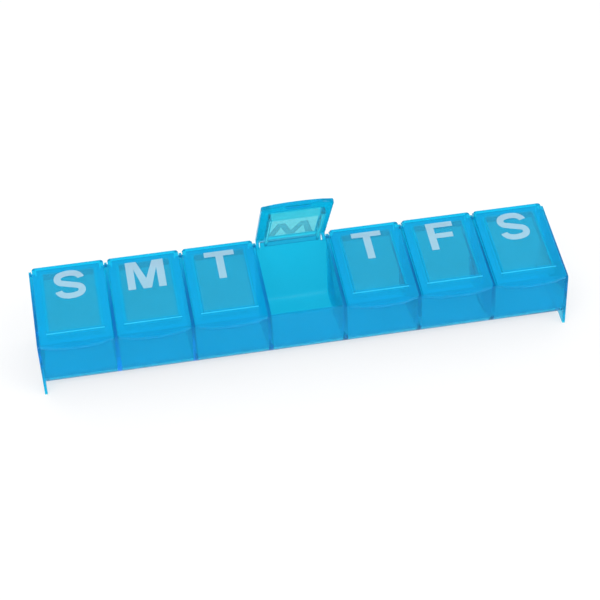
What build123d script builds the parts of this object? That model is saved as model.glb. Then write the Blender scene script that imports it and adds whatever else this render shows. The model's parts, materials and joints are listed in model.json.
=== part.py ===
from build123d import *
import os
from math import atan2, cos, degrees, hypot, radians, sin, sqrt, tan

# Weekly pill organizer: one moulded tray of seven compartments in a row, and a sloping
# lid on each that turns on two stub pins at the top of the back wall.
# Millimetres. X runs along the row, the front faces -Y, Z is up, the feet stand on Z = 0.
# The tray is drawn with its back face at Y = 0 and everything is centred at the very end.

# ---- driving dimensions of the tray
DAYS = ["sunday", "monday", "tuesday", "wednesday", "thursday", "friday", "saturday"]
PITCH = 29.0            # from one divider to the next
DEPTH = 37.3            # front face to back face
RIDGE_HEIGHT = 32.2     # where the slope would meet the back face, above the feet
BEND_HEIGHT = 21.9      # where the slope meets the front face
WALL = 1.0              # front and back wall, and dividers and end walls at the ridge
DRAFT = 0.9             # degrees that dividers and end walls taper, so that they leave the mould
FLOOR = 1.0             # floor thickness
FLOOR_LIFT = 2.6        # underside of the floor above the feet
SCOOP_RADIUS = 7.0      # outside of the round from floor to front wall
HEEL_RADIUS = 4.0       # outside of the round from floor to back wall
BEND_RADIUS = 1.5       # where a divider's slope turns down the front
FOOT_PAD = 1.0          # flat under each of the four feet
ARCH_RISE = 2.2         # how far the end walls are cut away between their feet
CATCH_LENGTH = 9.3
CATCH_HEIGHT = 1.3
CATCH_PROUD = 0.5

# ---- driving dimensions of the hinge
PIN_RADIUS = 0.65
PIN_CLEARANCE = 0.05    # radial, a running fit
RIDGE_RADIUS = 1.4      # wall left round the pin's axis, also the round of the ridge
EAR_RADIUS = 1.25
EAR_THICKNESS = 1.2
NOTCH_CLEARANCE = 0.4   # room for an ear in the back wall
PIN_TIP_GAP = 0.08      # a pin's tip to the middle of the wall, where it faces the next lid's pin

# ---- driving dimensions of a lid
LID_GAP = 1.6           # between neighbouring lids
LID_LIFT = 0.2          # between a divider's slope and the lid's underside
LID_THICKNESS = 1.5
LID_TAIL = 1.0          # how far the lid reaches behind the pin's axis
LID_OVERHANG = 1.3      # past the front wall, at the corners
TAB_LENGTH = 18.6       # thumb tab along X
TAB_SLANT = 2.9         # along X at each end, from the tab back to the lid's edge
TAB_STEP = 0.9          # tab's end past the lid's corner
TAB_CROWN = 0.8         # tab's middle past its ends
CORNER_RADIUS = 1.2
EDGE_ROUND = 0.3
RIM_DEPTH = 2.6         # plug rim under the lid
RIM_WALL = 1.0
RIM_SIDE_INSET = 3.0    # lid's side edge to the rim
RIM_CLEARANCE = 0.1     # rim to the ridge that it passes over when the lid is fully open
RIM_FRONT_INSET = 4.4   # rim to the front face, along the slope
WINDOW_THINNING = 0.5   # how much thinner the lid is inside the rim
BEAD_HEIGHT = 0.7       # bead under the tab that passes over the catch
BEAD_CLEARANCE = 0.25   # bead to the catch as it passes
BEAD_THICKNESS = 1.1

# ---- driving dimensions of the lettering
LETTER_HEIGHT = 13.7
LETTER_STROKE = 2.9
LETTER_BAR = 2.4
LETTER_TOP = 2.7        # letter's top edge in front of the pin's axis
INK = 0.12

# ---- how far each lid stands open in the model, degrees
OPEN_DAY = "wednesday"
OPEN_ANGLE = 66.0

# ---- worked out from the above
slope = atan2(RIDGE_HEIGHT - BEND_HEIGHT, DEPTH)
row_length = PITCH * len(DAYS)
pin_y = -RIDGE_RADIUS
pin_z = RIDGE_HEIGHT - RIDGE_RADIUS * tan(slope) - RIDGE_RADIUS / cos(slope)
slope_from_pin = DEPTH / cos(slope) - RIDGE_RADIUS * (1 / cos(slope) + tan(slope))
lid_width = PITCH - LID_GAP
lid_under = RIDGE_RADIUS + LID_LIFT
lid_top = lid_under + LID_THICKNESS
side_gap = (PITCH - WALL - lid_width) / 2
lid_corner_reach = slope_from_pin + LID_OVERHANG
rim_width = lid_width - 2 * RIM_SIDE_INSET
rim_back = RIDGE_RADIUS + RIM_CLEARANCE
rim_front = slope_from_pin - RIM_FRONT_INSET
taper = RIDGE_HEIGHT * tan(radians(DRAFT))
catch_bottom = BEND_HEIGHT - CATCH_HEIGHT + CATCH_PROUD / 2
catch_reach = hypot(DEPTH + CATCH_PROUD + pin_y, pin_z - catch_bottom)
bead_level = lid_under - BEAD_HEIGHT
bead_inner = sqrt((catch_reach + BEAD_CLEARANCE) ** 2 - bead_level ** 2)
pin_length = side_gap + WALL / 2 - PIN_TIP_GAP


def divider_x(index):
    """Middle of a divider or end wall, counted from the left end."""
    return index * PITCH - row_length / 2


def across(outline, middle_x, thickness):
    """A plate of the given Y-Z outline, thick along X about middle_x."""
    face = Plane.YZ.offset(middle_x - thickness / 2) * outline
    return extrude(face, thickness)


def drafted(outline, middle_x, lean_left, lean_right):
    """A wall of the given outline, WALL thick at the ridge, whose faces lean by the draft."""
    block = across(outline, middle_x, WALL + 2 * taper)
    left, right = middle_x - WALL / 2, middle_x + WALL / 2
    side = make_face(Polyline(
        (left, RIDGE_HEIGHT), (right, RIDGE_HEIGHT),
        (right + lean_right * taper, 0), (left + lean_left * taper, 0), close=True))
    return block & extrude(Plane.XZ * side, 2 * DEPTH, both=True)


def rounded_outline(corners):
    """A closed outline whose corners are (y, z, radius)."""
    sketch = make_face(Polyline(*[(y, z) for y, z, _ in corners], close=True))
    for y, z, radius in corners:
        if radius > 0:
            nearest = sketch.vertices().sort_by_distance((y, z, 0))[0]
            sketch = fillet(nearest, radius)
    return sketch


def divider_outline():
    """Back face, rounded ridge, slope, rounded bend, front face and the floor's rounds."""
    return rounded_outline([
        (0, RIDGE_HEIGHT, RIDGE_RADIUS),
        (-DEPTH, BEND_HEIGHT, BEND_RADIUS),
        (-DEPTH, FLOOR_LIFT, SCOOP_RADIUS),
        (0, FLOOR_LIFT, HEEL_RADIUS),
    ])


def end_outline():
    """As a divider above, with two feet and a shallow arch between them below."""
    sketch = rounded_outline([
        (0, RIDGE_HEIGHT, RIDGE_RADIUS),
        (-DEPTH, BEND_HEIGHT, BEND_RADIUS),
        (-DEPTH, 0, 0),
        (0, 0, 0),
    ])
    arch = ThreePointArc((-DEPTH + FOOT_PAD, 0), (-DEPTH / 2, ARCH_RISE), (-FOOT_PAD, 0))
    return sketch - make_face([arch, Line(arch @ 1, arch @ 0)])


def trough_outline():
    """Front wall, floor and back wall in one bent strip."""
    inside = rounded_outline([
        (-WALL, RIDGE_HEIGHT + WALL, 0),
        (-DEPTH + WALL, RIDGE_HEIGHT + WALL, 0),
        (-DEPTH + WALL, FLOOR_LIFT + FLOOR, SCOOP_RADIUS - WALL),
        (-WALL, FLOOR_LIFT + FLOOR, HEEL_RADIUS - WALL),
    ])
    above_front = Pos(-DEPTH, BEND_HEIGHT) * Rectangle(
        2 * WALL + BEND_RADIUS, RIDGE_HEIGHT, align=(Align.CENTER, Align.MIN))
    square_front = rounded_outline([
        (0, RIDGE_HEIGHT, RIDGE_RADIUS),
        (-DEPTH, BEND_HEIGHT, 0),
        (-DEPTH, FLOOR_LIFT, SCOOP_RADIUS),
        (0, FLOOR_LIFT, HEEL_RADIUS),
    ])
    return square_front - inside - above_front


def catch(middle_x):
    """Small ledge on the front wall, under the middle of a lid's tab."""
    outline = make_face(Polyline(
        (-DEPTH + WALL / 2, BEND_HEIGHT),
        (-DEPTH - CATCH_PROUD / 2, BEND_HEIGHT),
        (-DEPTH - CATCH_PROUD, BEND_HEIGHT - CATCH_PROUD),
        (-DEPTH - CATCH_PROUD, catch_bottom),
        (-DEPTH, BEND_HEIGHT - CATCH_HEIGHT),
        (-DEPTH + WALL / 2, BEND_HEIGHT - CATCH_HEIGHT),
        close=True))
    return across(outline, middle_x, CATCH_LENGTH)


def ear_notches(middle_x):
    """Two slots in the top of the back wall that a lid's ears turn in."""
    width = side_gap + EAR_THICKNESS + NOTCH_CLEARANCE
    bottom = pin_z - EAR_RADIUS - NOTCH_CLEARANCE
    slots = []
    for side in (-1, 1):
        edge = middle_x + side * (PITCH - WALL) / 2
        slots.append(Pos(edge - side * width / 2, -WALL / 2, bottom) * Box(
            width, 2 * WALL, RIDGE_HEIGHT, align=(Align.CENTER, Align.CENTER, Align.MIN)))
    return slots


def tray():
    body = across(trough_outline(), 0, row_length - taper)
    for index in range(1, len(DAYS)):
        body += drafted(divider_outline(), divider_x(index), -1, 1)
    body += drafted(end_outline(), divider_x(0), 1, 1)
    body += drafted(end_outline(), divider_x(len(DAYS)), -1, -1)
    for index in range(len(DAYS)):
        middle = divider_x(index) + PITCH / 2
        body += catch(middle)
        for slot in ear_notches(middle):
            body -= slot
    socket = Circle(PIN_RADIUS + PIN_CLEARANCE)
    for index in range(len(DAYS) + 1):
        body -= across(Pos(pin_y, pin_z) * socket, divider_x(index), 2 * WALL)
    return body


def lid_plan():
    """The lid seen square on: x along the row, y towards the hinge, the pin's axis at y = 0."""
    half = lid_width / 2
    tab_half = TAB_LENGTH / 2
    tab_foot = tab_half + TAB_SLANT
    corner = -lid_corner_reach
    tab_end = corner - TAB_STEP
    tab_middle = tab_end - TAB_CROWN
    edges = [
        Line((-half, LID_TAIL), (half, LID_TAIL)),
        Line((half, LID_TAIL), (half, corner)),
        Line((half, corner), (tab_foot, corner)),
        Line((tab_foot, corner), (tab_half, tab_end)),
        ThreePointArc((tab_half, tab_end), (0, tab_middle), (-tab_half, tab_end)),
        Line((-tab_half, tab_end), (-tab_foot, corner)),
        Line((-tab_foot, corner), (-half, corner)),
        Line((-half, corner), (-half, LID_TAIL)),
    ]
    plan = make_face(edges)
    corners = [v for v in plan.vertices() if abs(abs(v.X) - half) < EDGE_ROUND]
    return fillet(corners, CORNER_RADIUS)


def lid():
    """A lid lying flat: the pin's axis is the X axis, the front points to -Y."""
    plate = extrude(Plane.XY.offset(lid_under) * lid_plan(), LID_THICKNESS)
    top_edges = plate.faces().sort_by(Axis.Z)[-1].edges()
    plate = fillet(top_edges, EDGE_ROUND)
    rim_middle = -(rim_back + rim_front) / 2
    rim_length = rim_front - rim_back
    rim_plan = Rectangle(rim_width, rim_length)
    inside_plan = Rectangle(rim_width - 2 * RIM_WALL, rim_length - 2 * RIM_WALL)
    rim_place = Plane.XY.offset(lid_under - RIM_DEPTH) * Pos(0, rim_middle)
    rim = extrude(rim_place * (rim_plan - inside_plan), RIM_DEPTH)
    thinning = extrude(Plane.XY.offset(lid_under) * Pos(0, rim_middle) * inside_plan, WINDOW_THINNING)
    bead = Pos(0, -bead_inner, bead_level) * Box(
        CATCH_LENGTH, BEAD_THICKNESS, BEAD_HEIGHT, align=(Align.CENTER, Align.MAX, Align.MIN))
    body = plate + rim + bead - thinning
    ear_outline = Circle(EAR_RADIUS) + Rectangle(
        2 * EAR_RADIUS, lid_under, align=(Align.CENTER, Align.MIN))
    for side in (-1, 1):
        ear_x = side * (lid_width - EAR_THICKNESS) / 2
        body += across(ear_outline, ear_x, EAR_THICKNESS)
        pin_x = side * (lid_width + pin_length) / 2
        body += across(Circle(PIN_RADIUS), pin_x, pin_length)
    return body


def outline_letter(points):
    return make_face(Polyline(*points, close=True))


def letter_t():
    high = LETTER_HEIGHT / 2
    bar_length = 11.6
    bar = Pos(0, high) * Rectangle(bar_length, LETTER_BAR, align=(Align.CENTER, Align.MAX))
    return bar + Rectangle(LETTER_STROKE, LETTER_HEIGHT)


def letter_f():
    high = LETTER_HEIGHT / 2
    left, upper_length, lower_length, lower_drop = -5.1, 10.6, 9.8, 5.5
    corner = (Align.MIN, Align.MAX)
    stem = Pos(left, high) * Rectangle(LETTER_STROKE, LETTER_HEIGHT, align=corner)
    upper = Pos(left, high) * Rectangle(upper_length, LETTER_BAR, align=corner)
    lower = Pos(left, high - lower_drop) * Rectangle(lower_length, LETTER_BAR, align=corner)
    return stem + upper + lower


def letter_m():
    high = LETTER_HEIGHT / 2
    wide, shoulder, point = 7.3, 3.1, 1.6
    inner = wide - LETTER_STROKE
    valley, crotch = -1.9, 3.2
    return outline_letter([
        (-wide, -high), (-wide, high), (-shoulder, high), (0, valley), (shoulder, high),
        (wide, high), (wide, -high), (inner, -high), (inner, crotch), (point, -high),
        (-point, -high), (-inner, crotch), (-inner, -high)])


def letter_w():
    high = LETTER_HEIGHT / 2
    wide, foot, heel, point = 8.9, 5.9, 3.0, 1.5
    peak, crotch, crotch_x = 2.6, -2.6, 4.4
    return outline_letter([
        (-wide, high), (-foot, -high), (-heel, -high), (0, peak), (heel, -high),
        (foot, -high), (wide, high), (wide - LETTER_STROKE, high), (crotch_x, crotch),
        (point, high), (-point, high), (-crotch_x, crotch), (LETTER_STROKE - wide, high)])


def letter_s():
    """A stroke of even width: a straight middle and three bends each way from it."""
    heading, straight = 163, 3.09
    bends = [(2.19, 24.5), (7.64, -15.7), (3.55, -72.8)]    # radius, heading at the end
    run = radians(heading)
    half = [Line((0, 0), (straight * cos(run), straight * sin(run)))]
    for radius, next_heading in bends:
        along = (cos(radians(heading)), sin(radians(heading)))
        half.append(JernArc(half[-1] @ 1, along, radius, next_heading - heading))
        heading = next_heading
    strokes = trace(half, (LETTER_BAR + LETTER_STROKE) / 2)
    return strokes + Rot(0, 0, 180) * strokes


LETTERS = {"sunday": letter_s, "monday": letter_m, "tuesday": letter_t, "wednesday": letter_w,
           "thursday": letter_t, "friday": letter_f, "saturday": letter_s}


def letter(day):
    """The day's initial, printed on top of its lid, in the flat lid's own place."""
    middle = -(LETTER_TOP + LETTER_HEIGHT / 2)
    return extrude(Plane.XY.offset(lid_top) * Pos(0, middle) * LETTERS[day](), INK)


def in_place(piece, index):
    """Tilt a flat lid or letter down the slope, or up where it stands open, on its pins."""
    opened = OPEN_ANGLE if DAYS[index] == OPEN_DAY else 0
    tilt = degrees(slope) - opened
    middle = divider_x(index) + PITCH / 2
    return Pos(middle, pin_y, pin_z) * Rot(tilt, 0, 0) * piece


def build():
    flat_lid = lid()
    pieces = {"tray": tray()}
    for index, day in enumerate(DAYS):
        pieces["lid_" + day] = in_place(flat_lid, index)
        pieces["letter_" + day] = in_place(letter(day), index)
    box = Compound(children=[Compound(p.solids()) for p in pieces.values()]).bounding_box()
    to_centre = Pos(0, -(box.min.Y + box.max.Y) / 2, 0)
    print("pin axis at y", round(pin_y + to_centre.position.Y, 4), "z", round(pin_z, 4))
    print("moved along y by", round(to_centre.position.Y, 4), "slope", round(degrees(slope), 3))
    return {name: to_centre * piece for name, piece in pieces.items()}


os.makedirs("parts", exist_ok=True)
for name, piece in build().items():
    solids = piece.solids()
    whole = solids[0] if len(solids) == 1 else Compound(children=solids)
    export_step(whole, f"parts/{name}.step")
    print(name, len(solids), round(whole.volume, 1))
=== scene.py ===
# Weekly pill organizer: the pieces, their finishes and the studio, in metres and in the CAD's
# own frame. The tray is one moulding, and the seven lids are copies of the first.
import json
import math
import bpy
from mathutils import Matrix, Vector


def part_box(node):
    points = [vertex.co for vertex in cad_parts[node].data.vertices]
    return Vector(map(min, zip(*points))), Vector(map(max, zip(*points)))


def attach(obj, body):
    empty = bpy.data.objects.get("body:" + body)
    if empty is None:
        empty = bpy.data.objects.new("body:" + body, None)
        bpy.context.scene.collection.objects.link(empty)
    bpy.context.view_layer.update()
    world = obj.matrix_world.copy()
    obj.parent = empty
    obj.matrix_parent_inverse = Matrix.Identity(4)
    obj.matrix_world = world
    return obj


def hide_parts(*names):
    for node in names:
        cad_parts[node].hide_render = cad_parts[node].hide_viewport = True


bl_info = {
    "name": "Weekly pill organizer",
    "version": (1, 0, 0),
    "blender": (4, 5, 0),
    "location": "View3D > Sidebar > Pill organizer",
    "description": "Builds a seven day pill organizer of clear blue plastic on a studio floor",
    "category": "Object",
}

import bpy
from mathutils import Matrix, Quaternion, Vector

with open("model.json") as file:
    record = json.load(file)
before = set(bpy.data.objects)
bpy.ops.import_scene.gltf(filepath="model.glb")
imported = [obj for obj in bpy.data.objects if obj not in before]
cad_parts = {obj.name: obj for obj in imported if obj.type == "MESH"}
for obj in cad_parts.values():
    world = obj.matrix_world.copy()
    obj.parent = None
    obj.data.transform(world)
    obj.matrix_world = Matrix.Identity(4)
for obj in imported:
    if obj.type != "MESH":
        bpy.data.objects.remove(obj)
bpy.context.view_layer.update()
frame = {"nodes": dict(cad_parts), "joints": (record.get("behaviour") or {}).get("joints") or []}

MM = 0.001
DAYS = ("sunday", "monday", "tuesday", "wednesday", "thursday", "friday", "saturday")
FIRST_DAY = DAYS[0]
ALONG_ROW = Vector((1, 0, 0))

# Mesh work: corners closer than this are one corner, and faces that turn by less than this are
# one flat face. Edges sharper than SHARP_ANGLE are rounded, and shading breaks past SMOOTH_ANGLE.
MERGE_DISTANCE = 0.002 * MM
FLAT_ANGLE = math.radians(0.6)
SHARP_ANGLE = math.radians(32)
SMOOTH_ANGLE = math.radians(35)
ROUND_SEGMENTS = 3

# A lid's material slots, in the order in which they are added; the third is a painted highlight
# line.
BORDER_SLOT, WINDOW_SLOT, PAINTED_HIGHLIGHT_SLOT = 0, 1, 2

# The Mix node's sockets when it mixes colours, several of which share a name.
MIX_FACTOR, MIX_A, MIX_B, MIX_RESULT = 0, 6, 7, 2
OPAQUE = 1.0
WHITE = (1, 1, 1, 1)

# The studio. The lamps stand round the object and aim a little above the floor.
LAMP_AIM = Vector((0, 0, 0.02))
LAMPS = (
    # name, place, width and height, watts
    ("key_softbox", (-0.8, -1.1, 1.0), (0.9, 0.7), 7.0),
    ("edge_strip", (0.1, -1.0, 1.05), (1.6, 0.15), 5.0),
    ("fill_softbox", (1.1, -0.8, 0.9), (0.8, 0.8), 6.0),
    ("rim_softbox", (-0.5, 1.3, 0.7), (1.2, 0.6), 4.0),
)
HORIZON_LIGHT, OVERHEAD_LIGHT = 1.0, 0.7
HORIZON_END, OVERHEAD_START = 0.35, 0.85
FLOOR_WHITE_SHARE = 0.65

# The camera, fitted to the photograph: a focal length of 1700 px on a frame 600 px wide.
SENSOR_WIDTH = 36.0
FOCAL_PIXELS, FRAME_PIXELS = 1700, 600
CAMERA_PLACE = Vector((-0.08141, -0.53431, 0.39182))
CAMERA_AIM = Vector((-0.00048, -0.00231, 0.01670))
CAMERA_ROLL = math.radians(-2.69)


def linear(hex_colour):
    """An sRGB hex colour as the linear numbers that a shader takes."""
    parts = [int(hex_colour[i:i + 2], 16) / 255 for i in (1, 3, 5)]
    return tuple(c / 12.92 if c <= 0.04045 else ((c + 0.055) / 1.055) ** 2.4 for c in parts)


# ---- what a user would change

class TraySettings(bpy.types.PropertyGroup):
    edge_round: bpy.props.FloatProperty(
        name="Edge round", description="Radius on the tray's moulded edges",
        default=0.22 * MM, min=0, unit="LENGTH")


class LidSettings(bpy.types.PropertyGroup):
    edge_round: bpy.props.FloatProperty(
        name="Edge round", description="Radius on the lid's moulded edges",
        default=0.18 * MM, min=0, unit="LENGTH")
    window_width: bpy.props.FloatProperty(
        name="Window width", description="Polished middle of the lid, along the row",
        default=19.2 * MM, min=0, unit="LENGTH")
    window_back: bpy.props.FloatProperty(
        name="Window back", description="From the hinge's axis to the window",
        default=2.6 * MM, min=0, unit="LENGTH")
    window_front: bpy.props.FloatProperty(
        name="Window front", description="From the hinge's axis to the window's far end",
        default=31.3 * MM, min=0, unit="LENGTH")
    window_height: bpy.props.FloatProperty(
        name="Window height", description="Least height of the window's faces above the axis",
        default=1.8 * MM, min=0, unit="LENGTH")
    # The painted highlight line: a strip of the lid's skin over the rim's front wall, given a
    # paler finish.
    highlight_line_start: bpy.props.FloatProperty(
        name="Bright line", description="From the hinge's axis to the line over the rim's front",
        default=32.2 * MM, min=0, unit="LENGTH")
    line_width: bpy.props.FloatProperty(
        name="Bright line width", description="Width of the line over the rim's front",
        default=0.5 * MM, min=0, unit="LENGTH")
    # The rim walls within this margin of the window get its paler finish: painted light against
    # their shade.
    rim_margin: bpy.props.FloatProperty(
        name="Rim margin", description="From the window out to the far side of the rim under it",
        default=1.3 * MM, min=0, unit="LENGTH")
    underside: bpy.props.FloatProperty(
        name="Underside", description="Height of the lid's underside above the axis",
        default=1.6 * MM, min=0, unit="LENGTH")


class ColourSettings(bpy.types.PropertyGroup):
    wall: bpy.props.FloatVectorProperty(
        name="Tray", description="Blue of the tray's walls",
        subtype="COLOR", size=3, min=0, max=1, default=linear("#1CC6E8"))
    border: bpy.props.FloatVectorProperty(
        name="Lid border", description="Deeper blue of the lid round its window",
        subtype="COLOR", size=3, min=0, max=1, default=linear("#00C4ED"))
    window: bpy.props.FloatVectorProperty(
        name="Lid window", description="Thin polished middle of the lid",
        subtype="COLOR", size=3, min=0, max=1, default=linear("#7CE2ED"))
    # Colour of the painted highlight line over the rim's front wall; the line is painted paler, it
    # doesn't light up.
    line: bpy.props.FloatVectorProperty(
        name="Bright line", description="Line over the rim's front wall, which lights up",
        subtype="COLOR", size=3, min=0, max=1, default=linear("#38C0EC"))
    depth: bpy.props.FloatVectorProperty(
        name="Plastic depth", description="Colour that the tray keeps as it gets thicker",
        subtype="COLOR", size=3, min=0, max=1, default=linear("#00EFFA"))
    ink: bpy.props.FloatVectorProperty(
        name="Letters", description="Printed initials",
        subtype="COLOR", size=3, min=0, max=1, default=linear("#D8E0E9"))


class StageSettings(bpy.types.PropertyGroup):
    floor: bpy.props.FloatVectorProperty(
        name="Floor", description="Studio floor",
        subtype="COLOR", size=3, min=0, max=1, default=linear("#F4F5F6"))
    floor_size: bpy.props.FloatProperty(
        name="Floor size", description="Side of the square floor",
        default=6.0, min=0, unit="LENGTH")


# ---- helpers

def add_node(tree, kind, settings=None, inputs=None, links=None):
    """Adds one node, sets it, fills its sockets and links it to what feeds it."""
    node = tree.nodes.new(kind)
    for key, value in (settings or {}).items():
        setattr(node, key, value)
    for key, value in (inputs or {}).items():
        node.inputs[key].default_value = value
    for key, source in (links or {}).items():
        tree.links.new(source, node.inputs[key])
    return node


def new_material(name):
    material = bpy.data.materials.new(name)
    material.use_nodes = True
    material.node_tree.nodes.clear()
    return material


def deselect_all():
    for thing in bpy.context.selected_objects:
        thing.select_set(False)


def make_active(piece):
    deselect_all()
    piece.select_set(True)
    bpy.context.view_layer.objects.active = piece


def merged_copy(node, name):
    """A copy of a CAD node with its loose triangles merged and its flat faces made whole again."""
    piece = frame["nodes"][node].copy()
    piece.data = piece.data.copy()
    piece.name = piece.data.name = name
    for key in list(piece.keys()):
        del piece[key]
    piece.parent = None
    bpy.context.scene.collection.objects.link(piece)
    piece.data.materials.clear()
    make_active(piece)
    bpy.ops.object.mode_set(mode="EDIT")
    bpy.ops.mesh.select_all(action="SELECT")
    bpy.ops.mesh.remove_doubles(threshold=MERGE_DISTANCE)
    bpy.ops.mesh.dissolve_limited(angle_limit=FLAT_ANGLE)
    bpy.ops.object.mode_set(mode="OBJECT")
    return piece


def round_edges(piece, radius):
    """Rounds the sharp edges, as a mould leaves them, and smooths the shading between them."""
    make_active(piece)
    bevel = piece.modifiers.new("edge round", "BEVEL")
    bevel.width = radius
    bevel.segments = ROUND_SEGMENTS
    bevel.limit_method = "ANGLE"
    bevel.angle_limit = SHARP_ANGLE
    bevel.use_clamp_overlap = True
    bpy.ops.object.modifier_apply(modifier=bevel.name)
    bpy.ops.object.shade_smooth_by_angle(angle=SMOOTH_ANGLE)


# ---- finishes

def coloured_polypropylene(name, blue, transmission, haze, shine, deep=None):
    """Polypropylene, coloured through and injection moulded.

    It is clear where thin, a little cloudy, with a soft gloss that the tool's fine texture
    breaks up. With a depth colour it also turns deep blue where it is seen edge on."""
    material = new_material(name)
    tree = material.node_tree
    place = add_node(tree, "ShaderNodeTexCoord").outputs["Object"]
    # The pigment is spread unevenly, in clouds about 14 mm across.
    clouds = add_node(tree, "ShaderNodeTexNoise", inputs={
        "Scale": 1 / (14 * MM), "Detail": 3.0, "Roughness": 0.5}, links={"Vector": place})
    # A tool's satin grain is about 0.1 mm, drawn here at 0.5 mm so that it shows.
    texture = add_node(tree, "ShaderNodeTexNoise", inputs={
        "Scale": 1 / (0.5 * MM), "Detail": 2.0, "Roughness": 0.6}, links={"Vector": place})
    # The walls sink a little as they cool, in shallow waves about 6 mm long.
    sinks = add_node(tree, "ShaderNodeTexNoise", inputs={
        "Scale": 1 / (6 * MM), "Detail": 1.0}, links={"Vector": place})
    pale = tuple(min(1.0, 1.06 * c + 0.01) for c in blue)
    colour = add_node(tree, "ShaderNodeMix", {"data_type": "RGBA"}, {
        MIX_A: (*blue, OPAQUE), MIX_B: (*pale, OPAQUE)}, {MIX_FACTOR: clouds.outputs["Fac"]})
    satin = add_node(tree, "ShaderNodeMapRange", inputs={
        "To Min": 0.85 * haze, "To Max": 1.15 * haze}, links={"Value": texture.outputs["Fac"]})
    waves = add_node(tree, "ShaderNodeBump", inputs={
        "Strength": 0.25, "Distance": 0.05 * MM}, links={"Height": sinks.outputs["Fac"]})
    grain = add_node(tree, "ShaderNodeBump", inputs={
        "Strength": 0.04, "Distance": 0.01 * MM},
        links={"Height": texture.outputs["Fac"], "Normal": waves.outputs["Normal"]})
    # Polypropylene has an IOR of 1.49, which the coat keeps. Under it the light bends less, so
    # that thin walls stay as clear as they look on white.
    skin = add_node(tree, "ShaderNodeBsdfPrincipled", inputs={
        "IOR": 1.15, "Transmission Weight": transmission, "Specular IOR Level": shine,
        "Coat Weight": 0.1, "Coat Roughness": 0.1, "Coat IOR": 1.5},
        links={"Base Color": colour.outputs[MIX_RESULT], "Roughness": satin.outputs["Result"],
               "Normal": grain.outputs["Normal"]})
    # Shadows and soft light pass through, tinted once, so that the floor under it glows blue.
    path = add_node(tree, "ShaderNodeLightPath")
    unseen = add_node(tree, "ShaderNodeMath", {"operation": "MAXIMUM"}, links={
        0: path.outputs["Is Shadow Ray"], 1: path.outputs["Is Diffuse Ray"]})
    through = add_node(tree, "ShaderNodeBsdfTransparent", inputs={
        "Color": (*(transmission * c ** 0.5 for c in blue), OPAQUE)})
    both = add_node(tree, "ShaderNodeMixShader", links={
        0: unseen.outputs[0], 1: skin.outputs["BSDF"], 2: through.outputs["BSDF"]})
    sockets = {"Surface": both.outputs[0]}
    if deep:
        sockets["Volume"] = add_node(tree, "ShaderNodeVolumeAbsorption", inputs={
            "Color": (*deep, OPAQUE), "Density": 320.0}).outputs["Volume"]
    add_node(tree, "ShaderNodeOutputMaterial", links=sockets)
    return material


def printed_ink(name, colour):
    """Pad printed ink: a thin matt film, very slightly uneven in cover."""
    material = new_material(name)
    tree = material.node_tree
    place = add_node(tree, "ShaderNodeTexCoord").outputs["Object"]
    cover = add_node(tree, "ShaderNodeTexNoise", inputs={
        "Scale": 1 / (2.5 * MM), "Detail": 4.0}, links={"Vector": place})
    pale = tuple(min(1.0, c * 1.08) for c in colour)
    shade = add_node(tree, "ShaderNodeMix", {"data_type": "RGBA"}, {
        MIX_A: (*colour, OPAQUE), MIX_B: (*pale, OPAQUE)}, {MIX_FACTOR: cover.outputs["Fac"]})
    film = add_node(tree, "ShaderNodeBump", inputs={
        "Strength": 0.2, "Distance": 0.01 * MM}, links={"Height": cover.outputs["Fac"]})
    ink = add_node(tree, "ShaderNodeBsdfPrincipled", inputs={
        "Roughness": 0.55, "IOR": 1.5, "Alpha": 0.32},
        links={"Base Color": shade.outputs[MIX_RESULT], "Normal": film.outputs["Normal"]})
    add_node(tree, "ShaderNodeOutputMaterial", links={"Surface": ink.outputs["BSDF"]})
    return material


# ---- the pieces

class PILLS_OT_tray(bpy.types.Operator):
    """Makes the tray: seven compartments between thin walls, one moulding"""
    bl_idname = "pills.tray"
    bl_label = "Tray"

    def execute(self, context):
        piece = merged_copy("tray", "compartment_tray")
        round_edges(piece, context.scene.pill_tray.edge_round)
        colours = context.scene.pill_colours
        piece.data.materials.append(coloured_polypropylene(
            "moulded_blue_polypropylene_tray", colours.wall,
            transmission=0.82, haze=0.10, shine=0.1, deep=colours.depth))
        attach(piece, "tray")
        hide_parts("tray")
        return {"FINISHED"}


def lid_materials(colours):
    """The lid's three finishes, in the order of its slots."""
    border = coloured_polypropylene(
        "moulded_blue_polypropylene_border", colours.border,
        transmission=0.72, haze=0.12, shine=0.1)
    window = coloured_polypropylene(
        "polished_blue_polypropylene_window", colours.window,
        transmission=0.95, haze=0.05, shine=0.2)
    # A strip of the lid's skin over the rim's front wall gets a paler, more diffuse finish, which
    # shows as a bright line: a painted highlight.
    line = coloured_polypropylene(
        "painted_highlight_line_blue_polypropylene", colours.line,
        transmission=0.35, haze=0.12, shine=0.2)
    return border, window, line


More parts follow.
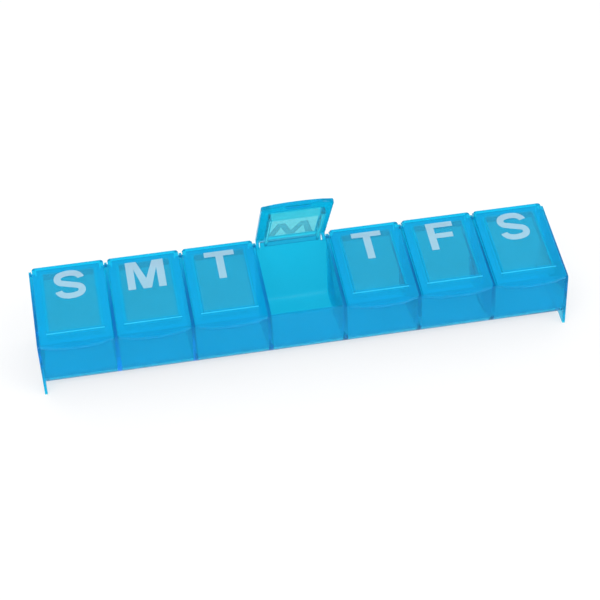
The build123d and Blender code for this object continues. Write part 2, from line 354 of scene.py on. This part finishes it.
def mark_window(lid, home, settings):
    """Cuts the lid's skin along the outlines of the window and the painted highlight line and
    gives each face its slot. The rim walls under the window get the window's paler, clearer
    finish, though the lid is one plastic, so that they don't render dark in shade: painted light."""
    top = max(lid.data.polygons, key=lambda face: face.area).normal.copy()
    down = ALONG_ROW.cross(top)
    down = down if down.z < 0 else -down
    middle = sum((Vector(corner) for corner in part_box("lid_" + FIRST_DAY)), Vector()) / 2
    half = settings.window_width / 2
    margin = settings.rim_margin
    wide = half + margin
    highlight_line_end = settings.highlight_line_start + settings.line_width
    below = settings.underside - 0.01 * MM
    sides = [(home + (middle.x - home.x + side) * ALONG_ROW, ALONG_ROW)
             for side in (-wide, -half, half, wide)]
    ends = [(home + down * reach, down) for reach in (
        settings.window_back, settings.window_front, settings.highlight_line_start, highlight_line_end)]
    make_active(lid)
    bpy.ops.object.mode_set(mode="EDIT")
    for spot, across in sides + ends:
        bpy.ops.mesh.select_all(action="SELECT")
        bpy.ops.mesh.bisect(plane_co=spot, plane_no=across)
    bpy.ops.object.mode_set(mode="OBJECT")
    for face in lid.data.polygons:
        out = face.center - home
        side, reach, height = abs(face.center.x - middle.x), out.dot(down), out.dot(top)
        skin = height > settings.window_height
        inside = skin and side < half and settings.window_back < reach < settings.window_front
        # Faces of the painted highlight line, a strip of the skin over the rim's front wall.
        line = skin and side < wide and settings.highlight_line_start < reach < highlight_line_end
        # Painted light: the rim walls under the window take the window's paler, clearer finish so
        # that they don't render dark in shade.
        rim = (height < below and side < wide
               and settings.window_back - margin < reach < settings.window_front + margin)
        if line:
            face.material_index = PAINTED_HIGHLIGHT_SLOT
        elif inside or rim:
            face.material_index = WINDOW_SLOT
        else:
            face.material_index = BORDER_SLOT


def placed_copy(first, day, home, hinge):
    """A copy of the first lid on another day's hinge, turned as far open as it stands there."""
    lid = first.copy()
    lid.data = first.data.copy()
    lid.name = lid.data.name = day + "_lid"
    bpy.context.scene.collection.objects.link(lid)
    opened = -math.radians(hinge["range_deg"][0])
    turn = Matrix.Rotation(opened, 4, Vector(hinge["axis"]))
    lid.data.transform(
        Matrix.Translation(Vector(hinge["pos_m"])) @ turn @ Matrix.Translation(-home))
    return lid


class PILLS_OT_lids(bpy.types.Operator):
    """Makes the first lid closed and copies it along the row, one of them standing open"""
    bl_idname = "pills.lids"
    bl_label = "Lids"

    def execute(self, context):
        settings = context.scene.pill_lids
        hinges = {joint["child"]: joint for joint in frame["joints"]}
        home = Vector(hinges[FIRST_DAY]["pos_m"])
        first = merged_copy("lid_" + FIRST_DAY, FIRST_DAY + "_lid")
        mark_window(first, home, settings)
        round_edges(first, settings.edge_round)
        for material in lid_materials(context.scene.pill_colours):
            first.data.materials.append(material)
        for day in DAYS:
            lid = first if day == FIRST_DAY else placed_copy(first, day, home, hinges[day])
            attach(lid, day)
            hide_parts("lid_" + day)
        return {"FINISHED"}


class PILLS_OT_letters(bpy.types.Operator):
    """Gives the printed initials their ink"""
    bl_idname = "pills.letters"
    bl_label = "Letters"

    def execute(self, context):
        ink = printed_ink("pad_printed_pale_ink", context.scene.pill_colours.ink)
        for day in DAYS:
            for slot in frame["nodes"]["letter_" + day].material_slots:
                slot.material = ink
        return {"FINISHED"}


# ---- the studio

def soft_lamp(name, place, size, watts):
    data = bpy.data.lights.new(name, "AREA")
    data.shape = "RECTANGLE"
    data.size, data.size_y = size
    data.energy = watts
    lamp = bpy.data.objects.new(name, data)
    lamp.location = place
    lamp.rotation_euler = (LAMP_AIM - Vector(place)).to_track_quat("-Z", "Y").to_euler()
    bpy.context.scene.collection.objects.link(lamp)


def seen_white(tree):
    """How much of the floor shows as plain white: most of it straight on or in a reflection,
    which leaves the shadow, and all of it through the clear plastic."""
    path = add_node(tree, "ShaderNodeLightPath")
    straight = add_node(tree, "ShaderNodeMath", {"operation": "MAXIMUM"}, links={
        0: path.outputs["Is Camera Ray"], 1: path.outputs["Is Glossy Ray"]})
    most = add_node(tree, "ShaderNodeMath", {"operation": "MULTIPLY"}, {1: FLOOR_WHITE_SHARE},
                    {0: straight.outputs[0]})
    return add_node(tree, "ShaderNodeMath", {"operation": "MAXIMUM"}, links={
        0: most.outputs[0], 1: path.outputs["Is Transmission Ray"]}).outputs[0]


def studio_paper(name, shade):
    """Matt white paper: faint fibres, and white wherever the camera sees it lit."""
    material = new_material(name)
    tree = material.node_tree
    place = add_node(tree, "ShaderNodeTexCoord").outputs["Object"]
    # The fibres are drawn at 3 mm, coarser than paper's own, so that they show.
    fibre = add_node(tree, "ShaderNodeTexNoise", inputs={
        "Scale": 1 / (3 * MM), "Detail": 2.0}, links={"Vector": place})
    low = tuple(0.99 * c for c in shade)
    colour = add_node(tree, "ShaderNodeMix", {"data_type": "RGBA"}, {
        MIX_A: (*low, OPAQUE), MIX_B: (*shade, OPAQUE)}, {MIX_FACTOR: fibre.outputs["Fac"]})
    paper = add_node(tree, "ShaderNodeBsdfDiffuse", links={"Color": colour.outputs[MIX_RESULT]})
    white = add_node(tree, "ShaderNodeEmission", inputs={"Color": WHITE, "Strength": 1.0})
    both = add_node(tree, "ShaderNodeMixShader", links={
        0: seen_white(tree), 1: paper.outputs[0], 2: white.outputs[0]})
    add_node(tree, "ShaderNodeOutputMaterial", links={"Surface": both.outputs[0]})
    return material


def white_world(name):
    """An even white surround, a little darker straight overhead."""
    world = bpy.data.worlds.new(name)
    world.use_nodes = True
    tree = world.node_tree
    tree.nodes.clear()
    up = add_node(tree, "ShaderNodeSeparateXYZ", links={
        0: add_node(tree, "ShaderNodeTexCoord").outputs["Generated"]}).outputs["Z"]
    overhead = add_node(tree, "ShaderNodeMapRange", {"interpolation_type": "SMOOTHSTEP"}, {
        "From Min": HORIZON_END, "From Max": OVERHEAD_START,
        "To Min": HORIZON_LIGHT, "To Max": OVERHEAD_LIGHT}, {"Value": up})
    sky = add_node(tree, "ShaderNodeBackground", inputs={"Color": WHITE},
                   links={"Strength": overhead.outputs["Result"]})
    add_node(tree, "ShaderNodeOutputWorld", links={"Surface": sky.outputs[0]})
    return world


class PILLS_OT_stage(bpy.types.Operator):
    """Makes the pale floor, the soft lamps and the white world"""
    bl_idname = "pills.stage"
    bl_label = "Studio"

    def execute(self, context):
        settings = context.scene.pill_stage
        deselect_all()
        bpy.ops.mesh.primitive_plane_add(size=settings.floor_size, location=(0, 0, 0))
        floor = context.object
        floor.name = "studio_floor"
        floor.data.materials.append(studio_paper("matt_studio_paper", settings.floor))
        context.scene.world = white_world("white_studio")
        for lamp in LAMPS:
            soft_lamp(*lamp)
        context.scene.view_settings.view_transform = "Standard"
        return {"FINISHED"}


class PILLS_OT_camera(bpy.types.Operator):
    """Places the camera at the photograph's angle"""
    bl_idname = "pills.camera"
    bl_label = "Camera"

    def execute(self, context):
        data = bpy.data.cameras.new("studio_camera")
        data.sensor_width = SENSOR_WIDTH
        data.lens = SENSOR_WIDTH * FOCAL_PIXELS / FRAME_PIXELS
        data.clip_start, data.clip_end = 0.01, 20
        camera = bpy.data.objects.new("studio_camera", data)
        camera.location = CAMERA_PLACE
        level = (CAMERA_AIM - CAMERA_PLACE).to_track_quat("-Z", "Y")
        camera.rotation_mode = "QUATERNION"
        camera.rotation_quaternion = level @ Quaternion((0, 0, 1), CAMERA_ROLL)
        context.scene.collection.objects.link(camera)
        context.scene.camera = camera
        return {"FINISHED"}


class PILLS_PT_panel(bpy.types.Panel):
    bl_label = "Pill organizer"
    bl_idname = "PILLS_PT_panel"
    bl_space_type = "VIEW_3D"
    bl_region_type = "UI"
    bl_category = "Pill organizer"

    def draw(self, context):
        for operator in OPERATORS:
            self.layout.operator(operator.bl_idname)


SETTINGS = {"pill_tray": TraySettings, "pill_lids": LidSettings,
            "pill_colours": ColourSettings, "pill_stage": StageSettings}
OPERATORS = (PILLS_OT_tray, PILLS_OT_lids, PILLS_OT_letters, PILLS_OT_stage, PILLS_OT_camera)


def register():
    for group in SETTINGS.values():
        bpy.utils.register_class(group)
    for name, group in SETTINGS.items():
        setattr(bpy.types.Scene, name, bpy.props.PointerProperty(type=group))
    for operator in OPERATORS:
        bpy.utils.register_class(operator)
    bpy.utils.register_class(PILLS_PT_panel)


def unregister():
    bpy.utils.unregister_class(PILLS_PT_panel)
    for operator in reversed(OPERATORS):
        bpy.utils.unregister_class(operator)
    for name, group in SETTINGS.items():
        delattr(bpy.types.Scene, name)
        bpy.utils.unregister_class(group)


def main():
    register()
    bpy.ops.pills.tray()
    bpy.ops.pills.lids()
    bpy.ops.pills.letters()
    bpy.ops.pills.stage()
    bpy.ops.pills.camera()


if __name__ == "__main__":
    main()
